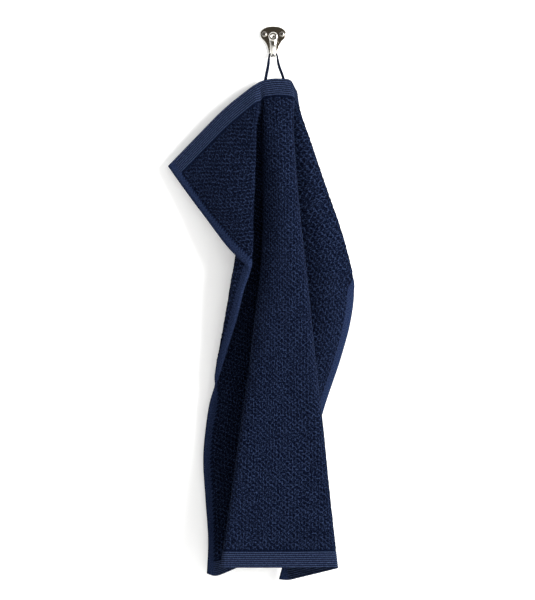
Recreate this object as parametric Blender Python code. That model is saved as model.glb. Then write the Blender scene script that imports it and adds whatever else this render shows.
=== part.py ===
"""A terry hand towel that hangs by its loop from a small wall hook.

Sizes are in millimetres up to the moment a mesh is made, which is in metres. The
origin is the middle of the hook's back face, the wall is the plane y = 0, -Y looks
into the room and +Z is up.

The towel is one sheet of 400 x 700 mm. u runs across it from its left side hem (0)
to its right one (1), and v runs from the hung top edge (0) to the bottom edge (1).
Each fold line is a curve in the sheet and in space. Between fold lines the cloth is
straight from line to line, and each fold is rounded over its own share of the width.
"""

import math

import bmesh
import bpy
import numpy as np

MM = 0.001

TOWEL_WIDTH = 400.0
TOWEL_LENGTH = 700.0
TERRY_THICKNESS = 2.8
BAND_THICKNESS = 2.0
HEM_THICKNESS = 3.2
HEM_WIDTH = 11.4
BAND_LENGTH = 24.0
BAND_RIBS = 8
RIB_HEIGHT = 0.45
ROWS_PER_RIB = 2

# Two folds cross the sheet aslant, from the lower end of the top band to its side
# edges. The mesh steps one column sideways for each row down along either of them.
LEFT_FOLD_STARTS = 0.42
RIGHT_FOLD_STARTS = 0.61
ASLANT_ROW = 0.02
LEFT_FOLD_ROWS = 13
RIGHT_FOLD_ROWS = 18
MIDDLE_COLUMNS = 9
LOWER_ROWS = 20

SADDLE_TAPE_WIDTH = 3.4
SADDLE_TAPE_THICKNESS = 2.2

PLATE_THICKNESS = 3.0
PLATE_EDGE = 0.8
ARM_SIDES = 16
KNOB_RADIUS = 6.5
KNOB_DIMPLE_RADIUS = 3.4
KNOB_DIMPLE_DEPTH = 1.2
KNOB_BACK_Y = -25.5
KNOB_FRONT_Y = -33.0
KNOB_Z = -7.0
SCREW_SPACING = 25.0
SCREW_HEAD_DIAMETER = 8.0
SCREW_HEAD_HEIGHT = 2.0
SCREW_SHANK_DIAMETER = 4.0
CLEARANCE = 0.3
CROSS_LENGTH = 5.0
CROSS_WIDTH = 1.0
CROSS_DEPTH = 1.0
ROUND_SIDES = 24

# Each fold line, left to right in the sheet, is (rounding, rows): rounding is the half
# width in u over which the fold turns, and a row is (v, u, x, y, z).
FOLD_LINES = {
    "left_edge_of_flap": (0.0, [
        (0.0000, 0.0000, -149, -20, -189),
        (0.0800, 0.0000, -121, -28, -228),
        (0.1500, 0.0000, -94, -38, -264),
        (0.2300, 0.0000, -62, -53, -306),
        (0.2943, 0.0000, -32, -64, -336),
    ]),
    "middle_of_flap": (0.06, [
        (0.0000, 0.2920, -68, -24, -107),
        (0.0343, 0.2900, -62, -31, -131),
        (0.1000, 0.1570, -71, -43, -199),
        (0.2000, 0.0760, -49, -57, -272),
        (0.2943, 0.0000, -32, -64, -336),
    ]),
    "flap_fold_then_left_edge": (0.035, [
        (0.0000, 0.4200, -29, -23, -76),
        (0.0343, 0.4200, -24, -33, -100),
        (0.1000, 0.3139, -24, -47, -160),
        (0.2000, 0.1523, -27, -58, -250),
        (0.2943, 0.0000, -32, -64, -336),
        (0.3400, 0.0000, -41, -60, -363),
        (0.4000, 0.0000, -50, -53, -400),
        (0.4700, 0.0000, -63, -43, -442),
        (0.5560, 0.0000, -78, -30, -490),
        (0.6000, 0.0000, -88, -23, -517),
        (0.6710, 0.0000, -96, -17, -562),
        (0.7210, 0.0000, -99, -16, -594),
        (0.8260, 0.0000, -96, -17, -661),
        (0.9170, 0.0000, -92, -20, -719),
        (1.0000, 0.0000, -94, -20, -765),
    ]),
    "turn_behind_flap": (0.02, [
        (0.0000, 0.4350, -23, -21, -72),
        (0.0343, 0.4400, -21, -28, -98),
        (0.1000, 0.3700, -36, -37, -149),
        (0.2000, 0.2169, -45, -46, -235),
        (0.2943, 0.0646, -53, -48, -321),
        (0.3400, 0.0600, -59, -47, -354),
        (0.4000, 0.0520, -66, -41, -395),
        (0.4700, 0.0380, -74, -34, -439),
        (0.5560, 0.0250, -82, -26, -490),
        (0.6000, 0.0300, -77, -20, -517),
        (0.6710, 0.0300, -84, -16, -562),
        (0.7210, 0.0300, -87, -16, -594),
        (0.8260, 0.0300, -84, -17, -661),
        (1.0000, 0.0300, -82, -19, -769),
    ]),
    "left_valley": (0.04, [
        (0.000, 0.445, -20, -21, -70),
        (0.034, 0.455, -17, -20, -95),
        (0.100, 0.410, -16, -16, -139),
        (0.200, 0.335, -14, -16, -215),
        (0.300, 0.254, -9, -11, -297),
        (0.400, 0.230, -13, -9, -373),
        (0.500, 0.205, -22, -8, -438),
        (0.600, 0.185, -20, -8, -502),
        (0.700, 0.185, -27, -8, -566),
        (0.850, 0.155, -37, -9, -663),
        (1.000, 0.120, -47, -11, -756),
    ]),
    "left_ridge": (0.045, [
        (0.000, 0.460, -15, -21, -68),
        (0.037, 0.466, -13, -24, -93),
        (0.100, 0.440, -14, -34, -138),
        (0.200, 0.430, -13, -49, -208),
        (0.300, 0.420, -13, -58, -276),
        (0.400, 0.410, -17, -65, -345),
        (0.500, 0.400, -25, -71, -412),
        (0.600, 0.387, -33, -75, -480),
        (0.700, 0.371, -43, -79, -547),
        (0.850, 0.347, -57, -83, -649),
        (1.000, 0.315, -72, -86, -748),
    ]),
    "left_roll": (0.030, [
        (0.000, 0.485, -6, -21, -66),
        (0.037, 0.488, -4, -25, -92),
        (0.100, 0.475, -6, -41, -137),
        (0.200, 0.475, -3, -60, -207),
        (0.300, 0.470, -1, -71, -275),
        (0.400, 0.460, -4, -77, -344),
        (0.500, 0.447, -12, -80, -411),
        (0.600, 0.432, -19, -82, -479),
        (0.700, 0.416, -26, -84, -547),
        (0.850, 0.388, -41, -85, -649),
        (1.000, 0.358, -55, -86, -748),
    ]),
    "middle_of_front": (0.05, [
        (0.000, 0.515, 4, -21, -65),
        (0.037, 0.517, 7, -26, -91),
        (0.100, 0.515, 9, -43, -137),
        (0.200, 0.520, 12, -66, -207),
        (0.300, 0.525, 14, -77, -275),
        (0.400, 0.530, 16, -81, -344),
        (0.500, 0.535, 18, -83, -411),
        (0.600, 0.540, 19, -84, -479),
        (0.700, 0.540, 20, -84, -547),
        (0.850, 0.540, 19, -85, -649),
        (1.000, 0.540, 19, -86, -748),
    ]),
    "right_ridge": (0.045, [
        (0.000, 0.560, 24, -21, -67),
        (0.037, 0.562, 27, -26, -93),
        (0.100, 0.565, 28, -38, -137),
        (0.200, 0.575, 32, -58, -207),
        (0.300, 0.595, 38, -71, -275),
        (0.400, 0.615, 46, -77, -344),
        (0.500, 0.635, 53, -80, -411),
        (0.600, 0.655, 60, -81, -479),
        (0.700, 0.670, 68, -83, -547),
        (0.850, 0.692, 78, -84, -649),
        (1.000, 0.720, 89, -86, -748),
    ]),
    "right_valley": (0.04, [
        (0.000, 0.586, 30, -19, -77),
        (0.034, 0.585, 30, -20, -95),
        (0.100, 0.618, 21, -17, -139),
        (0.200, 0.680, 20, -16, -212),
        (0.300, 0.732, 24, -17, -286),
        (0.400, 0.765, 29, -19, -360),
        (0.500, 0.798, 29, -19, -428),
        (0.640, 0.849, 25, -17, -527),
        (0.820, 0.916, 18, -16, -650),
        (1.000, 0.962, 24, -14, -775),
    ]),
    "middle_of_right_panel": (0.06, [
        (0.000, 0.595, 32, -18, -81),
        (0.034, 0.598, 34, -20, -101),
        (0.100, 0.650, 38, -24, -147),
        (0.200, 0.735, 50, -30, -219),
        (0.300, 0.815, 63, -34, -292),
        (0.400, 0.882, 74, -36, -362),
        (0.500, 0.899, 68, -32, -437),
        (0.640, 0.925, 49, -25, -529),
        (0.820, 0.958, 30, -19, -650),
        (1.000, 0.981, 16, -15, -775),
    ]),
    "right_turn_then_right_edge": (0.02, [
        (0.0000, 0.6040, 33, -16, -84),
        (0.0343, 0.6100, 37, -18, -107),
        (0.1000, 0.6812, 53, -21, -154),
        (0.2000, 0.7895, 77, -24, -225),
        (0.3000, 0.8978, 101, -26, -297),
        (0.3943, 1.0000, 114, -26, -364),
        (0.4600, 1.0000, 109, -24, -409),
        (0.5300, 1.0000, 97, -23, -455),
        (0.6400, 1.0000, 72, -20, -531),
        (0.8200, 1.0000, 42, -16, -651),
        (1.0000, 1.0000, 8, -14, -774),
    ]),
    "back_of_right_turn": (0.03, [
        (0.0000, 0.6450, 22, -9, -93),
        (0.0343, 0.6533, 26, -9, -120),
        (0.1000, 0.7245, 41, -9, -167),
        (0.2000, 0.8328, 66, -10, -238),
        (0.3000, 0.9411, 91, -16, -309),
        (0.3543, 1.0000, 104, -21, -347),
    ]),
    "right_edge_behind": (0.0, [
        (0.0000, 1.0000, -78, -8, -196),
        (0.1000, 1.0000, -28, -7, -240),
        (0.2000, 1.0000, 24, -8, -283),
        (0.3000, 1.0000, 77, -15, -325),
        (0.3543, 1.0000, 104, -21, -347),
        (0.3943, 1.0000, 114, -26, -364),
    ]),
}
LEAST_U_GAP = 1e-4
MOST_SHARE_ROUNDED = 0.48

# The loop's middle line from its left sewn end, over the hook, to its right one:
# (x, y, z, turn, width, thickness), where turn is the angle of the tape's width from
# +X towards +Y. The tape bunches up where it bends over the hook.
LOOP_LEFT_RISE = [
    (-12.5, -19.3, -84.0, 0, 4.3, 1.4),
    (-11.7, -18.4, -76.0, 0, 4.3, 1.4),
    (-11.2, -17.6, -68.0, 0, 4.3, 1.4),
    (-10.1, -17.0, -61.0, 0, 4.3, 1.5),
    (-7.2, -16.4, -46.0, 20, 3.9, 1.9),
]
LOOP_RIGHT_FALL = [
    (8.0, -16.4, -46.0, 140, 3.9, 1.9),
    (13.4, -17.0, -61.0, 142, 4.3, 1.5),
    (14.8, -17.5, -68.0, 150, 4.3, 1.4),
    (15.5, -18.4, -76.0, 165, 4.3, 1.4),
    (16.2, -19.2, -84.0, 175, 4.3, 1.4),
]
LOOP_STEPS = 4
SADDLE_GAP = 0.7
SADDLE_TURNS = (165, 135, 90, 45, 15)

# Half of the hook plate's outline, top to bottom, as (x, z).
PLATE_OUTLINE = [
    (0.0, 11.8),
    (7.5, 11.0),
    (13.8, 8.4),
    (17.8, 4.4),
    (18.6, 0.0),
    (16.9, -5.2),
    (12.4, -10.4),
    (9.2, -15.6),
    (7.4, -21.0),
    (6.2, -26.5),
    (3.8, -29.6),
    (0.0, -30.5),
]
# The hook's arm, from inside the plate round the saddle and up to the knob:
# (y, z, width, thickness) of its oval sections.
ARM_SECTIONS = [
    (-1.6, -20.0, 10.0, 2.6),
    (-5.0, -27.0, 9.5, 4.5),
    (-10.0, -31.8, 8.0, 5.0),
    (-15.5, -33.0, 7.2, 5.2),
    (-21.0, -31.0, 7.2, 5.2),
    (-25.5, -26.0, 7.8, 5.0),
    (-28.0, -19.0, 8.6, 4.8),
    (-28.5, -13.0, 10.2, 4.8),
    (-28.5, -7.5, 11.4, 5.0),
]
SADDLE_SECTION = 3
ARM_STEPS = 3

MATERIALS = {
    # name: (colour, roughness, metallic)
    "navy_terry": ((0.011, 0.019, 0.063, 1.0), 0.95, 0.0),
    "navy_tape": ((0.013, 0.022, 0.075, 1.0), 0.85, 0.0),
    "nickel": ((0.66, 0.64, 0.60, 1.0), 0.25, 1.0),
}


def clear_scene():
    for obj in list(bpy.data.objects):
        bpy.data.objects.remove(obj)


def material(name):
    found = bpy.data.materials.get(name)
    if found:
        return found
    colour, roughness, metallic = MATERIALS[name]
    made = bpy.data.materials.new(name)
    made.use_nodes = True
    shader = made.node_tree.nodes["Principled BSDF"]
    shader.inputs["Base Color"].default_value = colour
    shader.inputs["Roughness"].default_value = roughness
    shader.inputs["Metallic"].default_value = metallic
    return made


def add_object(name, points, faces, finish):
    """A smooth-shaded mesh object, from points in millimetres."""
    mesh = bpy.data.meshes.new(name)
    mesh.from_pydata([tuple(MM * np.asarray(point)) for point in points], [], faces)
    mesh.validate()
    mesh.shade_smooth()
    mesh.set_sharp_from_angle(angle=math.radians(40))
    mesh.materials.append(material(finish))
    obj = bpy.data.objects.new(name, mesh)
    bpy.context.scene.collection.objects.link(obj)
    return obj


def smooth_curve(stops, values, at):
    """Cubic through values (one row per stop) with the slopes of their neighbours."""
    stops = np.asarray(stops, float)
    values = np.asarray(values, float)
    slopes = np.gradient(values, stops, axis=0)
    k = int(np.clip(np.searchsorted(stops, at, side="right") - 1, 0, len(stops) - 2))
    span = stops[k + 1] - stops[k]
    t = (at - stops[k]) / span
    start, end = values[k], values[k + 1]
    leave, arrive = slopes[k] * span, slopes[k + 1] * span
    return (
        (2 * t**3 - 3 * t**2 + 1) * start
        + (t**3 - 2 * t**2 + t) * leave
        + (3 * t**2 - 2 * t**3) * end
        + (t**3 - t**2) * arrive
    )


def fold_points(v):
    """The fold lines that cross the sheet at v: their u, point and rounding."""
    us, points, rounding = [], [], []
    for rounded, rows in FOLD_LINES.values():
        rows = np.asarray(rows, float)
        if v > rows[-1, 0]:
            continue
        u = float(np.interp(v, rows[:, 0], rows[:, 1]))
        point = smooth_curve(rows[:, 0], rows[:, 2:], v)
        if us and u - us[-1] < LEAST_U_GAP:
            if u > 0.5:
                continue
            us.pop()
            points.pop()
            rounding.pop()
        us.append(u)
        points.append(point)
        rounding.append(rounded)
    return np.array(us), np.array(points), np.array(rounding)


def row_points(v, columns):
    """Points of the cloth's middle surface at v, for each u in columns."""
    us, points, rounding = fold_points(v)
    gaps = np.diff(us)
    slopes = np.diff(points, axis=0) / gaps[:, None]
    half = np.zeros(len(us))
    half[1:-1] = np.minimum(rounding[1:-1], MOST_SHARE_ROUNDED * np.minimum(gaps[:-1], gaps[1:]))
    # A rounded corner passes inside its own point, so the point moves out by as much.
    corners = points.copy()
    corners[1:-1] -= (slopes[1:] - slopes[:-1]) * half[1:-1, None] / 4
    slopes = np.diff(corners, axis=0) / gaps[:, None]
    found = []
    for u in columns:
        k = int(np.clip(np.searchsorted(us, u, side="right") - 1, 0, len(gaps) - 1))
        corner = k + 1 if us[k + 1] - u < half[k + 1] else k
        if 0 < corner < len(gaps) and abs(u - us[corner]) < half[corner]:
            h = half[corner]
            t = (u - us[corner] + h) / (2 * h)
            before = corners[corner] - slopes[corner - 1] * h
            after = corners[corner] + slopes[corner] * h
            found.append(
                (1 - t) ** 2 * before + 2 * t * (1 - t) * corners[corner] + t**2 * after
            )
        else:
            found.append(corners[k] + slopes[k] * (u - us[k]))
    return np.array(found)


def sheet_normals(grid):
    """Unit normals of a grid of points, on the side that faces the room."""
    across = np.gradient(grid, axis=1)
    down = np.gradient(grid, axis=0)
    normals = np.cross(across, down)
    return -normals / np.linalg.norm(normals, axis=2, keepdims=True)


def cloth_columns():
    """The u of each column of the mesh."""
    left = np.linspace(0, LEFT_FOLD_STARTS, LEFT_FOLD_ROWS + 1)
    middle = np.linspace(LEFT_FOLD_STARTS, RIGHT_FOLD_STARTS, MIDDLE_COLUMNS + 1)
    right = np.linspace(RIGHT_FOLD_STARTS, 1, RIGHT_FOLD_ROWS + 1)
    return np.concatenate([left, middle[1:], right[1:]])


def cloth_rows():
    """The v of each row of the mesh, close together where the end bands have ribs."""
    band = BAND_LENGTH / TOWEL_LENGTH
    band_rows = BAND_RIBS * ROWS_PER_RIB
    folds_end = band + RIGHT_FOLD_ROWS * ASLANT_ROW
    top = np.linspace(0, band, band_rows + 1)
    upper = np.linspace(band, folds_end, RIGHT_FOLD_ROWS + 1)
    lower = np.linspace(folds_end, 1 - band, LOWER_ROWS + 1)
    bottom = np.linspace(1 - band, 1, band_rows + 1)
    return np.concatenate([top, upper[1:], lower[1:], bottom[1:]])


def thickness_at(u, v):
    """Terry between two ribbed end bands, with a thicker hem down each side."""
    from_end = min(v, 1 - v) * TOWEL_LENGTH
    from_side = min(u, 1 - u) * TOWEL_WIDTH
    if from_side < HEM_WIDTH:
        return HEM_THICKNESS
    if from_end <= BAND_LENGTH:
        rib = math.sin(math.pi * BAND_RIBS * from_end / BAND_LENGTH) ** 2
        return BAND_THICKNESS + 2 * RIB_HEIGHT * rib
    return TERRY_THICKNESS


def closed_sheet(front, back, leaning_left):
    """Points and faces of a slab between two grids, its four edges closed.

    Each cell of the first leaning_left columns is cut from its upper right corner to
    its lower left one, and each other cell the other way.
    """
    rows, columns = front.shape[:2]
    count = rows * columns
    points = np.concatenate([front.reshape(-1, 3), back.reshape(-1, 3)])
    index = np.arange(count).reshape(rows, columns)
    faces = []
    for r in range(rows - 1):
        for c in range(columns - 1):
            upper_left, upper_right = index[r, c], index[r, c + 1]
            lower_left, lower_right = index[r + 1, c], index[r + 1, c + 1]
            if c < leaning_left:
                halves = (
                    (upper_left, lower_left, upper_right),
                    (lower_left, lower_right, upper_right),
                )
            else:
                halves = (
                    (upper_left, lower_left, lower_right),
                    (upper_left, lower_right, upper_right),
                )
            for half in halves:
                faces.append(half)
                faces.append(tuple(i + count for i in half[::-1]))
    rim = [*index[0], *index[1:, -1], *index[-1, -2::-1], *index[-2:0:-1, 0]]
    for a, b in zip(rim, rim[1:] + rim[:1]):
        faces.append((a, b, b + count, a + count))
    return points, [tuple(int(i) for i in face) for face in faces]


def make_towel():
    us = cloth_columns()
    vs = cloth_rows()
    grid = np.array([row_points(v, us) for v in vs])
    normals = sheet_normals(grid)
    thickness = np.array([[thickness_at(u, v) for u in us] for v in vs])
    offset = normals * thickness[:, :, None] / 2
    points, faces = closed_sheet(grid + offset, grid - offset, LEFT_FOLD_ROWS)
    return add_object("towel", points, faces, "navy_terry")


def sweep(rings):
    """Points and faces of a closed tube through rings of points, with flat ends."""
    sides = len(rings[0])
    points = [point for ring in rings for point in ring]
    faces = []
    for r in range(len(rings) - 1):
        for s in range(sides):
            a = r * sides + s
            b = r * sides + (s + 1) % sides
            faces.append((a, b, b + sides, a + sides))
    faces.append(tuple(range(sides))[::-1])
    faces.append(tuple(range((len(rings) - 1) * sides, len(rings) * sides)))
    return points, faces


def refine(stations, steps):
    """Stations on the smooth curve through the given ones."""
    last = len(stations) - 1
    stops = np.arange(last + 1)
    return np.array([smooth_curve(stops, stations, k / steps) for k in range(last * steps + 1)])


def recalculated(obj):
    """The object with all its faces turned outwards."""
    shape = bmesh.new()
    shape.from_mesh(obj.data)
    bmesh.ops.recalc_face_normals(shape, faces=shape.faces)
    shape.to_mesh(obj.data)
    shape.free()
    return obj


def saddle_stations():
    """The tape's middle line where it bends over the arm's lowest section."""
    y, z, width, thickness = ARM_SECTIONS[SADDLE_SECTION]
    away = SADDLE_GAP + SADDLE_TAPE_THICKNESS / 2
    stations = []
    for turn in SADDLE_TURNS:
        angle = math.radians(turn)
        x = (width / 2 + away) * math.cos(angle)
        rise = (thickness / 2 + away) * math.sin(angle)
        stations.append((x, y, z + rise, 90, SADDLE_TAPE_WIDTH, SADDLE_TAPE_THICKNESS))
    return stations


def make_loop():
    path = refine([*LOOP_LEFT_RISE, *saddle_stations(), *LOOP_RIGHT_FALL], LOOP_STEPS)
    rings = []
    tangents = np.gradient(path[:, :3], axis=0)
    for (x, y, z, turn, width, thickness), tangent in zip(path, tangents):
        tangent = tangent / np.linalg.norm(tangent)
        angle = math.radians(turn)
        wide = np.array([math.cos(angle), math.sin(angle), 0.0])
        wide -= tangent * wide.dot(tangent)
        wide /= np.linalg.norm(wide)
        thin = np.cross(tangent, wide)
        a, b = wide * width / 2, thin * thickness / 2
        middle = np.array([x, y, z])
        rings.append([middle + a + b, middle - a + b, middle - a - b, middle + a - b])
    return recalculated(add_object("hang_loop", *sweep(rings), "navy_tape"))


def plate_solid():
    right = refine(PLATE_OUTLINE, 3)
    left = [(-x, z) for x, z in right[-2:0:-1]]
    outline = [tuple(point) for point in right] + left
    middle = np.array([0.0, -9.0])
    rings = []
    # The front edge is eased by two short slopes.
    for y, inset in (
        (0.0, 0.0),
        (-(PLATE_THICKNESS - PLATE_EDGE), 0.0),
        (-(PLATE_THICKNESS - PLATE_EDGE * 0.3), PLATE_EDGE * 0.35),
        (-PLATE_THICKNESS, PLATE_EDGE),
    ):
        ring = []
        for point in outline:
            towards = middle - point
            x, z = point + towards / np.linalg.norm(towards) * inset
            ring.append((x, y, z))
        rings.append(ring)
    return recalculated(add_object("hook", *sweep(rings), "nickel"))


def arm_solid():
    stations = refine(ARM_SECTIONS, ARM_STEPS)
    tangents = np.gradient(stations[:, :2], axis=0)
    rings = []
    for (y, z, width, thickness), (dy, dz) in zip(stations, tangents):
        length = math.hypot(dy, dz)
        out_y, out_z = -dz / length, dy / length
        ring = []
        for k in range(ARM_SIDES):
            angle = 2 * math.pi * k / ARM_SIDES
            x = width / 2 * math.cos(angle)
            out = thickness / 2 * math.sin(angle)
            ring.append((x, y + out * out_y, z + out * out_z))
        rings.append(ring)
    return recalculated(add_object("arm_tool", *sweep(rings), "nickel"))


def turned(name, profile, centre_x, centre_z, finish):
    """A solid turned about a line along Y, from (radius, y) with the ends on the line."""
    rings = []
    for radius, y in profile:
        ring = []
        for k in range(ROUND_SIDES):
            angle = 2 * math.pi * k / ROUND_SIDES
            x = centre_x + radius * math.cos(angle)
            z = centre_z + radius * math.sin(angle)
            ring.append((x, y, z))
        rings.append(ring)
    return recalculated(add_object(name, *sweep(rings), finish))


def knob_solid():
    edge = 1.6
    profile = [
        (KNOB_RADIUS - edge, KNOB_BACK_Y),
        (KNOB_RADIUS - edge * 0.3, KNOB_BACK_Y - edge * 0.4),
        (KNOB_RADIUS, KNOB_BACK_Y - edge),
        (KNOB_RADIUS, KNOB_FRONT_Y + edge),
        (KNOB_RADIUS - edge * 0.3, KNOB_FRONT_Y + edge * 0.4),
        (KNOB_RADIUS - edge, KNOB_FRONT_Y),
        (KNOB_DIMPLE_RADIUS, KNOB_FRONT_Y),
        (KNOB_DIMPLE_RADIUS * 0.7, KNOB_FRONT_Y + KNOB_DIMPLE_DEPTH),
    ]
    return turned("knob_tool", profile, 0.0, KNOB_Z, "nickel")


def combine(target, tool, operation):
    """A Boolean of target with a helper object, which is hidden."""
    tool.hide_render = True
    tool.display_type = "WIRE"
    step = target.modifiers.new(tool.name, "BOOLEAN")
    step.operation = operation
    step.object = tool
    step.solver = "EXACT"
    return target


def make_hook():
    hook = plate_solid()
    combine(hook, arm_solid(), "UNION")
    combine(hook, knob_solid(), "UNION")
    for side in (-1, 1):
        radius = SCREW_SHANK_DIAMETER / 2 + CLEARANCE
        bore = [(radius, 1.0), (radius, -PLATE_THICKNESS - 1.0)]
        cutter = turned("screw_bore_tool", bore, side * SCREW_SPACING / 2, 0.0, "nickel")
        combine(hook, cutter, "DIFFERENCE")
    return hook


def box(name, centre, size, finish):
    """A block with its faces along the axes."""
    half = np.asarray(size) / 2
    rings = []
    for dy in (-1, 1):
        corners = ((-1, -1), (1, -1), (1, 1), (-1, 1))
        rings.append([np.asarray(centre) + half * (dx, dy, dz) for dx, dz in corners])
    return recalculated(add_object(name, *sweep(rings), finish))


def make_screw(name, x):
    seat = -PLATE_THICKNESS - CLEARANCE
    top = seat - SCREW_HEAD_HEIGHT
    head, shank = SCREW_HEAD_DIAMETER / 2, SCREW_SHANK_DIAMETER / 2
    profile = [
        (shank, 0.0),
        (shank, seat),
        (head, seat),
        (head, seat - SCREW_HEAD_HEIGHT * 0.35),
        (head * 0.85, seat - SCREW_HEAD_HEIGHT * 0.75),
        (head * 0.5, top),
    ]
    screw = turned(name, profile, x, 0.0, "nickel")
    for number, size in enumerate(((CROSS_LENGTH, CROSS_WIDTH), (CROSS_WIDTH, CROSS_LENGTH))):
        block = (size[0], 2 * CROSS_DEPTH, size[1])
        slot = box(f"{name}_slot_tool_{number}", (x, top, 0.0), block, "nickel")
        combine(screw, slot, "DIFFERENCE")
    return screw


clear_scene()
make_towel()
make_loop()
make_hook()
make_screw("screw_left", -SCREW_SPACING / 2)
make_screw("screw_right", SCREW_SPACING / 2)
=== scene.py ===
"""The looks of a navy terry hand towel that hangs from a nickel hook.

Sizes are in millimetres up to the moment a mesh is made. The hook's back face lies in
the plane y = 0, -Y is to the front and +Z is up. u runs across the cloth from its left
side hem (0) to its right one (1), and v from its hung top edge (0) to its bottom edge (1).
"""

import math

import bmesh
import bpy
import numpy as np
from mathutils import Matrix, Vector


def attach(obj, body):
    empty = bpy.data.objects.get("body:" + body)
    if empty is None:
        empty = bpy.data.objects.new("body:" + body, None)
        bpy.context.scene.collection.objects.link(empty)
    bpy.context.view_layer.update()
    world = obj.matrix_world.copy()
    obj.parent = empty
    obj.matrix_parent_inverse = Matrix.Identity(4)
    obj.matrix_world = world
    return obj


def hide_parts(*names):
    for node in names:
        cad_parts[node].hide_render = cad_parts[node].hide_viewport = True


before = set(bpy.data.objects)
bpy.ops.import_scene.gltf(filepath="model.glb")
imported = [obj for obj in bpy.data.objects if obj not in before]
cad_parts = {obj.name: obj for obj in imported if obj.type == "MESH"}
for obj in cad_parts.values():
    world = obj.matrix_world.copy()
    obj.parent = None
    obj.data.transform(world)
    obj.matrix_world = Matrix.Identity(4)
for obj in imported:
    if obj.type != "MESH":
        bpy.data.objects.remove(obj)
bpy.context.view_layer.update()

MM = 0.001

TOWEL_WIDTH = 400.0
TOWEL_LENGTH = 700.0
BAND_LENGTH = 24.0
BAND_RIBS = 8
HEM_WIDTH = 11.4
GROUND_THICKNESS = 1.2
BAND_THICKNESS = 1.9
RIB_HEIGHT = 0.55
RIB_FULLNESS = 0.7
HEM_THICKNESS = 2.8
HEM_EDGE_SHARE = 0.75

# Two folds cross the sheet aslant, from the lower end of the top band to its side
# edges. The mesh steps one column sideways for each row down along either of them.
LEFT_FOLD_STARTS = 0.42
RIGHT_FOLD_STARTS = 0.61
ASLANT_ROW = 0.02
LEFT_FOLD_ROWS = 13
RIGHT_FOLD_ROWS = 18
MIDDLE_COLUMNS = 9
LOWER_ROWS = 20
FINENESS = 3
ROWS_PER_RIB = 6

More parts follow.
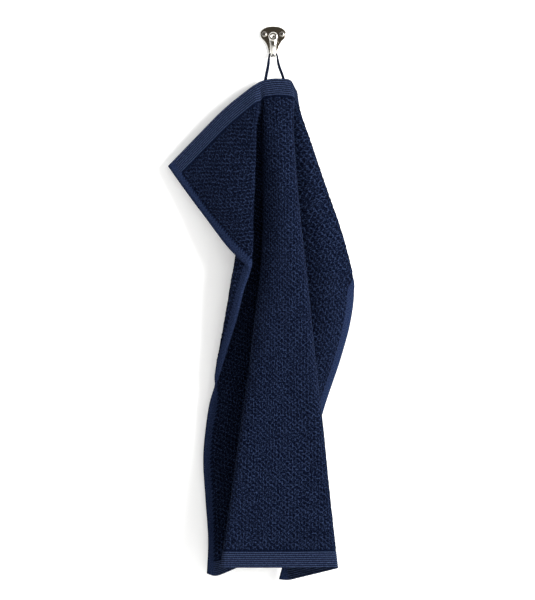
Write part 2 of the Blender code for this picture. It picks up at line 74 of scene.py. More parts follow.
# Each fold line, left to right in the sheet, is (rounding, rows): rounding is the half
# width in u over which the fold turns, and a row is (v, u, x, y, z).
FOLD_LINES = {
    "left_edge_of_flap": (0.0, [
        (0.0000, 0.0000, -149, -20, -189),
        (0.0800, 0.0000, -121, -28, -228),
        (0.1500, 0.0000, -94, -38, -264),
        (0.2300, 0.0000, -62, -53, -306),
        (0.2943, 0.0000, -32, -64, -336),
    ]),
    "middle_of_flap": (0.06, [
        (0.0000, 0.2920, -68, -24, -107),
        (0.0343, 0.2900, -62, -31, -131),
        (0.1000, 0.1570, -71, -43, -199),
        (0.2000, 0.0760, -49, -57, -272),
        (0.2943, 0.0000, -32, -64, -336),
    ]),
    "flap_fold_then_left_edge": (0.035, [
        (0.0000, 0.4200, -29, -23, -76),
        (0.0343, 0.4200, -24, -33, -100),
        (0.1000, 0.3139, -24, -47, -160),
        (0.2000, 0.1523, -27, -58, -250),
        (0.2943, 0.0000, -32, -64, -336),
        (0.3400, 0.0000, -41, -60, -363),
        (0.4000, 0.0000, -50, -53, -400),
        (0.4700, 0.0000, -63, -43, -442),
        (0.5560, 0.0000, -78, -30, -490),
        (0.6000, 0.0000, -88, -23, -517),
        (0.6710, 0.0000, -96, -17, -562),
        (0.7210, 0.0000, -99, -16, -594),
        (0.8260, 0.0000, -96, -17, -661),
        (0.9170, 0.0000, -92, -20, -719),
        (1.0000, 0.0000, -94, -20, -765),
    ]),
    "turn_behind_flap": (0.02, [
        (0.0000, 0.4350, -23, -21, -72),
        (0.0343, 0.4400, -21, -28, -98),
        (0.1000, 0.3700, -36, -37, -149),
        (0.2000, 0.2169, -45, -46, -235),
        (0.2943, 0.0646, -53, -48, -321),
        (0.3400, 0.0600, -59, -47, -354),
        (0.4000, 0.0520, -66, -41, -395),
        (0.4700, 0.0380, -74, -34, -439),
        (0.5560, 0.0250, -82, -26, -490),
        (0.6000, 0.0300, -77, -20, -517),
        (0.6710, 0.0300, -84, -16, -562),
        (0.7210, 0.0300, -87, -16, -594),
        (0.8260, 0.0300, -84, -17, -661),
        (1.0000, 0.0300, -82, -19, -769),
    ]),
    "left_valley": (0.04, [
        (0.000, 0.445, -20, -21, -70),
        (0.034, 0.455, -17, -20, -95),
        (0.100, 0.410, -16, -16, -139),
        (0.200, 0.335, -14, -16, -215),
        (0.300, 0.254, -9, -11, -297),
        (0.400, 0.230, -13, -9, -373),
        (0.500, 0.205, -22, -8, -438),
        (0.600, 0.185, -20, -8, -502),
        (0.700, 0.185, -27, -8, -566),
        (0.850, 0.155, -37, -9, -663),
        (1.000, 0.120, -47, -11, -756),
    ]),
    "left_ridge": (0.045, [
        (0.000, 0.460, -15, -21, -68),
        (0.037, 0.466, -13, -24, -93),
        (0.100, 0.440, -14, -34, -138),
        (0.200, 0.430, -13, -49, -208),
        (0.300, 0.420, -13, -58, -276),
        (0.400, 0.410, -17, -65, -345),
        (0.500, 0.400, -25, -71, -412),
        (0.600, 0.387, -33, -75, -480),
        (0.700, 0.371, -43, -79, -547),
        (0.850, 0.347, -57, -83, -649),
        (1.000, 0.315, -72, -86, -748),
    ]),
    "left_roll": (0.030, [
        (0.000, 0.485, -6, -21, -66),
        (0.037, 0.488, -4, -25, -92),
        (0.100, 0.475, -6, -41, -137),
        (0.200, 0.475, -3, -60, -207),
        (0.300, 0.470, -1, -71, -275),
        (0.400, 0.460, -4, -77, -344),
        (0.500, 0.447, -12, -80, -411),
        (0.600, 0.432, -19, -82, -479),
        (0.700, 0.416, -26, -84, -547),
        (0.850, 0.388, -41, -85, -649),
        (1.000, 0.358, -55, -86, -748),
    ]),
    "middle_of_front": (0.05, [
        (0.000, 0.515, 4, -21, -65),
        (0.037, 0.517, 7, -26, -91),
        (0.100, 0.515, 9, -43, -137),
        (0.200, 0.520, 12, -66, -207),
        (0.300, 0.525, 14, -77, -275),
        (0.400, 0.530, 16, -81, -344),
        (0.500, 0.535, 18, -83, -411),
        (0.600, 0.540, 19, -84, -479),
        (0.700, 0.540, 20, -84, -547),
        (0.850, 0.540, 19, -85, -649),
        (1.000, 0.540, 19, -86, -748),
    ]),
    "right_ridge": (0.045, [
        (0.000, 0.560, 24, -21, -67),
        (0.037, 0.562, 27, -26, -93),
        (0.100, 0.565, 28, -38, -137),
        (0.200, 0.575, 32, -58, -207),
        (0.300, 0.595, 38, -71, -275),
        (0.400, 0.615, 46, -77, -344),
        (0.500, 0.635, 53, -80, -411),
        (0.600, 0.655, 60, -81, -479),
        (0.700, 0.670, 68, -83, -547),
        (0.850, 0.692, 78, -84, -649),
        (1.000, 0.720, 89, -86, -748),
    ]),
    "right_valley": (0.04, [
        (0.000, 0.586, 30, -19, -77),
        (0.034, 0.585, 30, -20, -95),
        (0.100, 0.618, 21, -17, -139),
        (0.200, 0.680, 20, -16, -212),
        (0.300, 0.732, 24, -17, -286),
        (0.400, 0.765, 29, -19, -360),
        (0.500, 0.798, 29, -19, -428),
        (0.640, 0.849, 25, -17, -527),
        (0.820, 0.916, 18, -16, -650),
        (1.000, 0.962, 24, -14, -775),
    ]),
    "middle_of_right_panel": (0.06, [
        (0.000, 0.595, 32, -18, -81),
        (0.034, 0.598, 34, -20, -101),
        (0.100, 0.650, 38, -24, -147),
        (0.200, 0.735, 50, -30, -219),
        (0.300, 0.815, 63, -34, -292),
        (0.400, 0.882, 74, -36, -362),
        (0.500, 0.899, 68, -32, -437),
        (0.640, 0.925, 49, -25, -529),
        (0.820, 0.958, 30, -19, -650),
        (1.000, 0.981, 16, -15, -775),
    ]),
    "right_turn_then_right_edge": (0.02, [
        (0.0000, 0.6040, 33, -16, -84),
        (0.0343, 0.6100, 37, -18, -107),
        (0.1000, 0.6812, 53, -21, -154),
        (0.2000, 0.7895, 77, -24, -225),
        (0.3000, 0.8978, 101, -26, -297),
        (0.3943, 1.0000, 114, -26, -364),
        (0.4600, 1.0000, 109, -24, -409),
        (0.5300, 1.0000, 97, -23, -455),
        (0.6400, 1.0000, 72, -20, -531),
        (0.8200, 1.0000, 42, -16, -651),
        (1.0000, 1.0000, 8, -14, -774),
    ]),
    "back_of_right_turn": (0.03, [
        (0.0000, 0.6450, 22, -9, -93),
        (0.0343, 0.6533, 26, -9, -120),
        (0.1000, 0.7245, 41, -9, -167),
        (0.2000, 0.8328, 66, -10, -238),
        (0.3000, 0.9411, 91, -16, -309),
        (0.3543, 1.0000, 104, -21, -347),
    ]),
    "right_edge_behind": (0.0, [
        (0.0000, 1.0000, -78, -8, -196),
        (0.1000, 1.0000, -28, -7, -240),
        (0.2000, 1.0000, 24, -8, -283),
        (0.3000, 1.0000, 77, -15, -325),
        (0.3543, 1.0000, 104, -21, -347),
        (0.3943, 1.0000, 114, -26, -364),
    ]),
}
LEAST_U_GAP = 1e-4
MOST_SHARE_ROUNDED = 0.48

# The pile is a net of loops round small pits, in columns of which every other one is
# shifted by half a step. A pit strays by a share of the spacing, and is drawn out at an
# angle below the cloth's own right, in degrees.
COLUMN_SPACING = 4.4
PIT_SPACING = 7.3
PIT_SHIFT = 0.12
PIT_LEAN = 0.25
LEAN_ANGLE = 40.0
PILE_HEIGHT = 0.95
PILE_SEED = 7
# Each of these is a range for random picks. Sizes are shares of the way from a pit's middle to the
# knots round it, and the heights of knots and rims are shares of the pile's. A floor is a height in
# millimetres. Marks say how dark a point is painted, from 0 to 1: a random tone on the knots, painted
# shade in the pits.
PIT_SIZES = (0.45, 0.78)
KNOT_HEIGHTS = (0.8, 1.25)
RIM_HEIGHTS = (0.55, 0.9)
FLOOR_HEIGHTS = (0.0, 0.3)
KNOT_MARKS = (0.0, 0.25)
PIT_SHADE_MARKS = (0.68, 0.86)
LEAST_RIM_SHARE = 0.3

# Colours, as linear ones: dyes, with painted shade in the pits, the grooves and the ground, and painted
# reflection on the nickel.
PILE_DARK = (0.0008, 0.0022, 0.0085)
PILE_LIGHT = (0.0208, 0.0326, 0.0740)
# Painted shade at the bottom of the pile's pits, and the darkest of the ground's dye.
PIT_PAINTED_SHADE = (0.0001, 0.0005, 0.0036)
# The ground beneath the pile is darker than the pile, as painted shade under it.
GROUND_PAINTED_SHADE_LIGHT = (0.0030, 0.0065, 0.0200)
BAND_DARK = (0.0060, 0.0110, 0.0330)
BAND_LIGHT = (0.0500, 0.0730, 0.1500)
# Painted shade in the bands' grooves.
GROOVE_PAINTED_SHADE = (0.0001, 0.0003, 0.0020)
HEM_DARK = (0.0045, 0.0085, 0.0250)
HEM_LIGHT = (0.0165, 0.0260, 0.0630)
TAPE_DARK = (0.0030, 0.0050, 0.0140)
TAPE_LIGHT = (0.0060, 0.0095, 0.0240)
NICKEL = (0.74, 0.72, 0.67)
# Painted reflection: the plate's face is darker, as if it mirrored a dark room.
NICKEL_FACE_DARK_REFLECTION = (0.42, 0.38, 0.32)
# Painted reflection: the screws' nickel is darker, as if it mirrored a dark room.
SCREW_NICKEL_DARK_REFLECTION = (0.34, 0.32, 0.29)
BACKDROP_WHITE = (0.86, 0.86, 0.86)
FLOOR_WHITE = (0.8, 0.8, 0.79)

# The yarn's unevenness is a noise with cells of about a metre over its scale, drawn out
# down the cloth, and a little of a broader one. A ramp round its middle makes the dye.
YARN_DRAWN_OUT = (1.0, 0.7, 1.0)
BROAD_SCALE = 38.0
BROAD_SHARE = 0.04
UNEVEN_MIDDLE = 0.51
FIBRE_SCALE = 1600.0
FIBRE_HEIGHT = 0.0003
SHEEN_TINT = (0.20, 0.30, 0.65)
PILE_SHEEN = 0.03
BAND_SHEEN = 0.04

# The bands' grooves are darkened with painted shade: a smaller power spreads it wider. STITCH is the
# length of one stitch in millimetres, and its share is how much it lightens a groove.
GROOVE_POWER = 0.36
GROOVE_DEPTH = 0.0005
STITCH = 2.9
STITCH_SHARE = 0.08

# Where the hook keeps plain nickel, not the painted reflection of a dark room on its plate's face: what
# stands out from its plate, from the first y in metres to the second, and what is turned away from the
# front, by its normal's y.
RAISED_Y = (-0.006, -0.008)
TURNED_NORMAL_Y = (-0.96, -0.8)
CAST_SCALE = 160.0
CAST_HEIGHT = 0.0002
CAST_GLOSS = (0.06, 0.18)

SADDLE_TAPE_WIDTH = 3.4
SADDLE_TAPE_THICKNESS = 2.6
# The loop's middle line from its left sewn end, over the hook, to its right one:
# (x, y, z, turn, width, thickness), where turn is the angle of the tape's width from
# +X towards +Y. The tape bunches up where it bends over the hook.
LOOP_LEFT_RISE = [
    (-12.5, -19.3, -84.0, 0, 4.3, 1.4),
    (-11.7, -18.4, -76.0, 0, 4.3, 1.4),
    (-11.2, -17.6, -68.0, 0, 4.3, 1.4),
    (-10.1, -17.0, -61.0, 0, 4.3, 1.8),
    (-7.2, -16.4, -46.0, 20, 4.1, 2.4),
]
LOOP_RIGHT_FALL = [
    (8.0, -16.4, -46.0, 145, 4.1, 2.4),
    (13.4, -17.0, -61.0, 142, 4.3, 1.8),
    (14.8, -17.5, -68.0, 150, 4.3, 1.4),
    (15.5, -18.4, -76.0, 165, 4.3, 1.4),
    (16.2, -19.2, -84.0, 175, 4.3, 1.4),
]
LOOP_STEPS = 12
LOOP_SIDES = 12
# The powers that push the tape's round section out to a bar, across it and through it.
TAPE_SQUARED = (0.45, 0.7)
SADDLE_GAP = 0.7
SADDLE_TURNS = (165, 135, 90, 45, 15)

PLATE_THICKNESS = 3.0
PLATE_EDGE = 1.3
PLATE_MIDDLE_Z = -9.0
KNOB_RADIUS = 6.5
KNOB_EDGE = 2.2
KNOB_BACK_Y = -25.5
KNOB_FRONT_Y = -33.0
KNOB_Z = -7.0
# The hollow in the knob's front, from its rim inwards, as (radius, depth).
KNOB_DIMPLE = [(3.6, 0.0), (3.2, 0.5), (2.6, 1.1), (0.6, 1.3)]
SCREW_SPACING = 25.0
SCREW_HEAD_DIAMETER = 8.0
SCREW_HEAD_HEIGHT = 2.0
SCREW_HEAD_RIM = 0.2
SCREW_SHANK_DIAMETER = 4.0
SLOT_SIZE = (4.6, 2.0, 0.9)
CLEARANCE = 0.3
BORE_OVERRUN = 1.0
# Half of the hook plate's outline, top to bottom, as (x, z).
PLATE_OUTLINE = [
    (0.0, 11.8),
    (7.5, 11.0),
    (13.8, 8.4),
    (17.8, 4.4),
    (18.6, 0.0),
    (16.9, -5.2),
    (12.4, -10.4),
    (9.2, -15.6),
    (7.4, -21.0),
    (6.2, -26.5),
    (3.8, -29.6),
    (0.0, -30.5),
]
# The hook's arm, from inside the plate round the saddle and up to the knob:
# (y, z, width, thickness) of its oval sections.
ARM_SECTIONS = [
    (-1.6, -20.0, 10.0, 2.6),
    (-5.0, -27.0, 9.5, 4.5),
    (-10.0, -31.8, 8.0, 5.0),
    (-15.5, -33.0, 7.2, 5.2),
    (-21.0, -31.0, 7.2, 5.2),
    (-25.5, -26.0, 7.8, 5.0),
    (-28.0, -19.0, 8.6, 4.8),
    (-28.5, -13.0, 10.2, 4.8),
    (-28.5, -7.5, 11.4, 5.0),
]
SADDLE_SECTION = 3

# The photograph's frame: 600 pixels of 1.425 mm at the plane y = 0, seen straight on.
CAMERA_DISTANCE = 2800.0
CAMERA_X = -8.1
CAMERA_Z = -378.2
FRAME_HEIGHT = 855.0
SENSOR = 36.0

# The studio, in metres and watts. The backdrop lies just behind the hook's back face
# and glows a little, so that the shadow on it stays pale.
BACKDROP_Y = 0.0006
BACKDROP_MIDDLE_Z = -0.35
BACKDROP_HALF_WIDTH = 2.2
BACKDROP_HALF_HEIGHT = 1.6
BACKDROP_GLOW = 0.24
FLOOR_Z = -1.25
FLOOR_HALF_SIZE = 4.0
KEY = {"place": (2.15, -2.0, 0.1), "target": (0.0, 0.0, -0.35), "size": 1.3, "power": 150.0}
FILL = {"place": (0.2, -3.0, 0.2), "target": (0.0, 0.0, -0.4), "size": 2.0, "power": 24.0}
# The light all round, by how straight a direction points away from the backdrop: the
# far side, behind the camera, is dark. The right side is brighter than the left one.
LIGHT_ALL_ROUND = [(0.7, (0.55, 0.55, 0.55)), (0.93, (0.11, 0.10, 0.085))]
BRIGHTER_TO_RIGHT = 0.5


def add_object(name, points, faces, finishes):
    """A smooth-shaded mesh object, from points in millimetres."""
    mesh = bpy.data.meshes.new(name)
    mesh.from_pydata(MM * np.asarray(points, float), [], faces)
    mesh.validate()
    mesh.shade_smooth()
    for finish in finishes:
        mesh.materials.append(finish)
    obj = bpy.data.objects.new(name, mesh)
    bpy.context.scene.collection.objects.link(obj)
    return obj


def smooth_curve(stops, values, at):
    """Cubic through values (one row per stop) with the slopes of their neighbours."""
    stops = np.asarray(stops, float)
    values = np.asarray(values, float)
    slopes = np.gradient(values, stops, axis=0)
    k = int(np.clip(np.searchsorted(stops, at, side="right") - 1, 0, len(stops) - 2))
    span = stops[k + 1] - stops[k]
    t = (at - stops[k]) / span
    start, end = values[k], values[k + 1]
    leave, arrive = slopes[k] * span, slopes[k + 1] * span
    return (
        (2 * t**3 - 3 * t**2 + 1) * start
        + (t**3 - 2 * t**2 + t) * leave
        + (3 * t**2 - 2 * t**3) * end
        + (t**3 - t**2) * arrive
    )


def refine(stations, steps):
    """Stations on the smooth curve through the given ones."""
    last = len(stations) - 1
    stops = np.arange(last + 1)
    return np.array([smooth_curve(stops, stations, k / steps) for k in range(last * steps + 1)])


def fold_points(v):
    """The fold lines that cross the sheet at v: their u, point and rounding."""
    us, points, rounding = [], [], []
    for rounded, rows in FOLD_LINES.values():
        rows = np.asarray(rows, float)
        if v > rows[-1, 0]:
            continue
        u = float(np.interp(v, rows[:, 0], rows[:, 1]))
        point = smooth_curve(rows[:, 0], rows[:, 2:], v)
        if us and u - us[-1] < LEAST_U_GAP:
            if u > 0.5:
                continue
            us.pop()
            points.pop()
            rounding.pop()
        us.append(u)
        points.append(point)
        rounding.append(rounded)
    return np.array(us), np.array(points), np.array(rounding)


def row_points(v, columns):
    """Points of the cloth's middle surface at v, for each u in columns."""
    us, points, rounding = fold_points(v)
    gaps = np.diff(us)
    slopes = np.diff(points, axis=0) / gaps[:, None]
    half = np.zeros(len(us))
    half[1:-1] = np.minimum(rounding[1:-1], MOST_SHARE_ROUNDED * np.minimum(gaps[:-1], gaps[1:]))
    # A rounded corner passes inside its own point, so the point moves out by as much.
    corners = points.copy()
    corners[1:-1] -= (slopes[1:] - slopes[:-1]) * half[1:-1, None] / 4
    slopes = np.diff(corners, axis=0) / gaps[:, None]
    found = []
    for u in columns:
        k = int(np.clip(np.searchsorted(us, u, side="right") - 1, 0, len(gaps) - 1))
        corner = k + 1 if us[k + 1] - u < half[k + 1] else k
        if 0 < corner < len(gaps) and abs(u - us[corner]) < half[corner]:
            h = half[corner]
            t = (u - us[corner] + h) / (2 * h)
            before = corners[corner] - slopes[corner - 1] * h
            after = corners[corner] + slopes[corner] * h
            found.append(
                (1 - t) ** 2 * before + 2 * t * (1 - t) * corners[corner] + t**2 * after
            )
        else:
            found.append(corners[k] + slopes[k] * (u - us[k]))
    return np.array(found)


def sheet_normals(grid):
    """Unit normals of a grid of points, on the side that faces the front."""
    across = np.gradient(grid, axis=1)
    down = np.gradient(grid, axis=0)
    normals = np.cross(across, down)
    return -normals / np.linalg.norm(normals, axis=2, keepdims=True)


def cloth_columns():
    """The u of each column of the mesh."""
    left = np.linspace(0, LEFT_FOLD_STARTS, FINENESS * LEFT_FOLD_ROWS + 1)
    middle = np.linspace(LEFT_FOLD_STARTS, RIGHT_FOLD_STARTS, FINENESS * MIDDLE_COLUMNS + 1)
    right = np.linspace(RIGHT_FOLD_STARTS, 1, FINENESS * RIGHT_FOLD_ROWS + 1)
    return np.concatenate([left, middle[1:], right[1:]])


def cloth_rows():
    """The v of each row of the mesh, close together where the end bands have ribs."""
    band = BAND_LENGTH / TOWEL_LENGTH
    band_rows = BAND_RIBS * ROWS_PER_RIB
    folds_end = band + RIGHT_FOLD_ROWS * ASLANT_ROW
    top = np.linspace(0, band, band_rows + 1)
    upper = np.linspace(band, folds_end, FINENESS * RIGHT_FOLD_ROWS + 1)
    lower = np.linspace(folds_end, 1 - band, FINENESS * LOWER_ROWS + 1)
    bottom = np.linspace(1 - band, 1, band_rows + 1)
    return np.concatenate([top, upper[1:], lower[1:], bottom[1:]])


def from_end(v):
    return min(v, 1 - v) * TOWEL_LENGTH


def from_side(u):
    return min(u, 1 - u) * TOWEL_WIDTH


def thickness_at(u, v):
    """The ground of the terry, two ribbed end bands and a hem down each side."""
    if from_side(u) < HEM_WIDTH:
        across = from_side(u) / HEM_WIDTH
        crown = (1 - HEM_EDGE_SHARE) * math.sin(math.pi * across)
        return HEM_THICKNESS * (HEM_EDGE_SHARE + crown)
    if from_end(v) <= BAND_LENGTH:
        rib = abs(math.sin(math.pi * BAND_RIBS * from_end(v) / BAND_LENGTH)) ** RIB_FULLNESS
        return BAND_THICKNESS + 2 * RIB_HEIGHT * rib
    return GROUND_THICKNESS


def closed_sheet(front, back, leaning_left):
    """Points and faces of a slab between two grids, its four edges closed.

    Each cell of the first leaning_left columns is cut from its upper right corner to
    its lower left one, and each other cell the other way.
    """
    rows, columns = front.shape[:2]
    count = rows * columns
    points = np.concatenate([front.reshape(-1, 3), back.reshape(-1, 3)])
    index = np.arange(count).reshape(rows, columns)
    faces = []
    for r in range(rows - 1):
        for c in range(columns - 1):
            upper_left, upper_right = index[r, c], index[r, c + 1]
            lower_left, lower_right = index[r + 1, c], index[r + 1, c + 1]
            if c < leaning_left:
                halves = (
                    (upper_left, lower_left, upper_right),
                    (lower_left, lower_right, upper_right),
                )
            else:
                halves = (
                    (upper_left, lower_left, lower_right),
                    (upper_left, lower_right, upper_right),
                )
            for half in halves:
                faces.append(half)
                faces.append(tuple(i + count for i in half[::-1]))
    rim = [*index[0], *index[1:, -1], *index[-1, -2::-1], *index[-2:0:-1, 0]]
    for a, b in zip(rim, rim[1:] + rim[:1]):
        faces.append((a, b, b + count, a + count))
    return points, [tuple(int(i) for i in face) for face in faces]


def lay_cloth_map(obj, flat):
    """A map of the flat cloth in metres, for weaves: flat holds one (x, y) per point."""
    corners = np.empty(len(obj.data.loops), np.int32)
    obj.data.loops.foreach_get("vertex_index", corners)
    layer = obj.data.uv_layers.new(name="cloth")
    layer.data.foreach_set("uv", np.asarray(flat, np.float32)[corners].ravel())


GROUND_FINISH, BAND_FINISH, HEM_FINISH = range(3)


def make_ground(grid, normals, us, vs):
    """The woven sheet itself: ground, bands and hems."""
    thickness = np.array([[thickness_at(u, v) for u in us] for v in vs])
    offset = normals * thickness[:, :, None] / 2
    leaning_left = FINENESS * LEFT_FOLD_ROWS
    points, faces = closed_sheet(grid + offset, grid - offset, leaning_left)
    finishes = {
        GROUND_FINISH: ground_finish(),
        BAND_FINISH: band_finish(),
        HEM_FINISH: hem_finish(),
    }
    towel = add_object("towel_cloth", points, faces, finishes.values())
    flat = np.array([[(u * TOWEL_WIDTH, v * TOWEL_LENGTH) for u in us] for v in vs])
    flat = np.concatenate([flat.reshape(-1, 2)] * 2)
    lay_cloth_map(towel, flat * MM)
    side = np.minimum(flat[:, 0], TOWEL_WIDTH - flat[:, 0])
    end = np.minimum(flat[:, 1], TOWEL_LENGTH - flat[:, 1])
    for face in towel.data.polygons:
        corners = list(face.vertices)
        if side[corners].mean() < HEM_WIDTH:
            face.material_index = HEM_FINISH
        elif end[corners].mean() < BAND_LENGTH:
            face.material_index = BAND_FINISH
    return towel


def sample_grid(grid, us, vs, u, v):
    """Values of a grid at the given u and v, blended between its four neighbours."""
    c = np.clip(np.searchsorted(us, u, side="right") - 1, 0, len(us) - 2)
    r = np.clip(np.searchsorted(vs, v, side="right") - 1, 0, len(vs) - 2)
    s = ((u - us[c]) / (us[c + 1] - us[c]))[:, None]
    t = ((v - vs[r]) / (vs[r + 1] - vs[r]))[:, None]
    upper = grid[r, c] * (1 - s) + grid[r, c + 1] * s
    lower = grid[r + 1, c] * (1 - s) + grid[r + 1, c + 1] * s
    return upper * (1 - t) + lower * t


def pile_lattice(random):
    """Flat (x, y) of each pit, and of the knots right and left of each pair in a column.

    The first index is the column's number, and the second one the place along it.
    """
    wide = TOWEL_WIDTH - 2 * HEM_WIDTH
    long = TOWEL_LENGTH - 2 * BAND_LENGTH
    columns, rows = round(wide / COLUMN_SPACING), round(long / PIT_SPACING)
    across, down = wide / columns, long / rows
    y, x = np.meshgrid(np.arange(rows + 2), np.arange(columns + 2))
    odd = x % 2
    places = np.stack([
        HEM_WIDTH + across * (x - 0.5),
        BAND_LENGTH + down * (y - 0.75 + odd / 2),
    ], axis=2)
    places += random.normal(0, PIT_SHIFT, places.shape) * (across, down)
    pairs = places[:, :-1] + places[:, 1:]
    c, r = x[:-1, :-1], y[:-1, :-1]
    right = (pairs[:-1] + places[c + 1, r + odd[:-1, :-1]]) / 3
    c, r = x[1:, :-1], y[1:, :-1]
    left = (pairs[1:] + places[c - 1, r + odd[1:, :-1]]) / 3
    return places, right, left


def laid_on(surface, side, flat, lift):
    """Points at a height over one face of the cloth, from their flat (x, y)."""
    grid, normals, us, vs = surface
    u = np.clip(flat[:, 0] / TOWEL_WIDTH, 0, 1)
    v = np.clip(flat[:, 1] / TOWEL_LENGTH, 0, 1)
    normal = sample_grid(normals, us, vs, u, v)
    normal /= np.linalg.norm(normal, axis=1, keepdims=True)
    return sample_grid(grid, us, vs, u, v) + side * normal * (GROUND_THICKNESS / 2 + lift)[:, None]


def make_pile(name, surface, side):
    """The pile of one face of the cloth."""
    random = np.random.default_rng(PILE_SEED + side)
    places, right, left = pile_lattice(random)
    columns, rows = places.shape[:2]
    c, r = np.meshgrid(np.arange(1, columns - 1), np.arange(1, rows - 1), indexing="ij")
    c, r = c.ravel(), r.ravel()
    even = 1 - c % 2
    # The six knots round a pit, in turn, as numbers in right and then in left.
    steps = rows - 1
    lefts = len(right) * steps
    knots = np.stack([
        lefts + (c - 1) * steps + r,
        c * steps + r,
        lefts + c * steps + r - even,
        c * steps + r - 1,
        lefts + (c - 1) * steps + r - 1,
        (c - 1) * steps + r - even,
    ], axis=1)
    spots = np.concatenate([right.reshape(-1, 2), left.reshape(-1, 2)])
    used, knots = np.unique(knots, return_inverse=True)
    knots = knots.reshape(-1, 6)
    pits = len(c)
    # A knot at the edge of the pile has fewer than three pits round it.
    shared = np.bincount(knots.ravel(), minlength=len(used))
    knot_lift = np.where(shared < 3, 0.0, PILE_HEIGHT * random.uniform(*KNOT_HEIGHTS, len(used)))
    centre = places[c, r]
    outwards = (spots[used][knots] - centre[:, None]) * random.uniform(*PIT_SIZES, (pits, 6, 1))
    angle = math.radians(LEAN_ANGLE)
    lean = np.array([math.cos(angle), math.sin(angle)])
    along = (outwards @ lean)[:, :, None] * lean
    rim = centre[:, None] + (1 - PIT_LEAN) * outwards + 2 * PIT_LEAN * along
    rim_lift = PILE_HEIGHT * random.uniform(*RIM_HEIGHTS, (pits, 6))
    rim_lift *= np.minimum(1, LEAST_RIM_SHARE + knot_lift[knots] / PILE_HEIGHT)
    floor_lift = random.uniform(*FLOOR_HEIGHTS, pits)
    flat = np.concatenate([spots[used], rim.reshape(-1, 2), centre])
    lift = np.concatenate([knot_lift, rim_lift.ravel(), floor_lift])
    rim_number = len(used) + np.arange(pits * 6).reshape(-1, 6)
    floor_number = len(used) + pits * 6 + np.arange(pits)
    faces = []
    for k in range(6):
        following = (k + 1) % 6
        outer, outer_next = knots[:, k], knots[:, following]
        inner, inner_next = rim_number[:, k], rim_number[:, following]
        faces.append(np.stack([outer, inner, inner_next], axis=1))
        faces.append(np.stack([outer, inner_next, outer_next], axis=1))
        faces.append(np.stack([inner, floor_number, inner_next], axis=1))
    faces = np.concatenate(faces)
    if side > 0:
        faces = faces[:, ::-1]
    pile = add_object(name, laid_on(surface, side, flat, lift), faces.tolist(), [pile_finish()])
    lay_cloth_map(pile, flat * MM)
    # How dark each point is painted: a random tone on the knots, painted shade in the pits.
    knot_marks = random.uniform(*KNOT_MARKS, len(used))
    pit_shade_marks = random.uniform(*PIT_SHADE_MARKS, pits)
    marks = np.concatenate([knot_marks, np.repeat(pit_shade_marks, 6), pit_shade_marks])
    layer = pile.data.attributes.new("pit", "FLOAT", "POINT")
    layer.data.foreach_set("value", marks.astype(np.float32))
    return pile


def make_towel():
    us, vs = cloth_columns(), cloth_rows()
    grid = np.array([row_points(v, us) for v in vs])
    normals = sheet_normals(grid)
    towel = make_ground(grid, normals, us, vs)
    surface = (grid, normals, us, vs)
    pile = [
        make_pile("towel_pile_front", surface, 1),
        make_pile("towel_pile_back", surface, -1),
    ]
    for piece in (towel, *pile):
        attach(piece, "root")
        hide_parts("towel")


def sweep(rings):
    """Points and faces of a closed tube through rings of points, with flat ends."""
    sides = len(rings[0])
    points = [point for ring in rings for point in ring]
    faces = []
    for r in range(len(rings) - 1):
        for s in range(sides):
            a = r * sides + s
            b = r * sides + (s + 1) % sides
            faces.append((a, b, b + sides, a + sides))
    faces.append(tuple(range(sides))[::-1])
    faces.append(tuple(range((len(rings) - 1) * sides, len(rings) * sides)))
    return points, faces


def recalculated(obj):
    """The object with all its faces turned outwards."""
    shape = bmesh.new()
    shape.from_mesh(obj.data)
    bmesh.ops.recalc_face_normals(shape, faces=shape.faces)
    shape.to_mesh(obj.data)
    shape.free()
    return obj


def saddle_stations():
    """The tape's middle line where it bends over the arm's lowest section."""
    y, z, width, thickness = ARM_SECTIONS[SADDLE_SECTION]
    away = SADDLE_GAP + SADDLE_TAPE_THICKNESS / 2
    stations = []
    for turn in SADDLE_TURNS:
        angle = math.radians(turn)
        x = (width / 2 + away) * math.cos(angle)
        rise = (thickness / 2 + away) * math.sin(angle)
        stations.append((x, y, z + rise, 90, SADDLE_TAPE_WIDTH, SADDLE_TAPE_THICKNESS))
    return stations


def make_loop():
    path = refine([*LOOP_LEFT_RISE, *saddle_stations(), *LOOP_RIGHT_FALL], LOOP_STEPS)
    tangents = np.gradient(path[:, :3], axis=0)
    rings, flat = [], []
    along = 0.0
    for number, ((x, y, z, turn, width, thickness), tangent) in enumerate(zip(path, tangents)):
        if number:
            along += float(np.linalg.norm(path[number, :3] - path[number - 1, :3]))
        tangent = tangent / np.linalg.norm(tangent)
        angle = math.radians(turn)
        wide = np.array([math.cos(angle), math.sin(angle), 0.0])
        wide -= tangent * wide.dot(tangent)
        wide /= np.linalg.norm(wide)
        thin = np.cross(tangent, wide)
        middle = np.array([x, y, z])
        ring = []
        for k in range(LOOP_SIDES):
            turned = 2 * math.pi * k / LOOP_SIDES
            # A rounded bar: a circle pushed out towards a rectangle.
            c, s = math.cos(turned), math.sin(turned)
            a = math.copysign(abs(c) ** TAPE_SQUARED[0], c) * width / 2
            b = math.copysign(abs(s) ** TAPE_SQUARED[1], s) * thickness / 2
            ring.append(middle + wide * a + thin * b)
            flat.append((a, along))
        rings.append(ring)
    loop = add_object("hang_tape", *sweep(rings), [tape_finish()])
    recalculated(loop)
    lay_cloth_map(loop, np.array(flat) * MM)
    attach(loop, "root")
    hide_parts("hang_loop")


def quarter_round(steps):
    """(sine, cosine) of the angles along a quarter turn, in equal steps."""
    angles = [math.radians(90 * k / steps) for k in range(steps + 1)]
    return [(math.sin(angle), math.cos(angle)) for angle in angles]


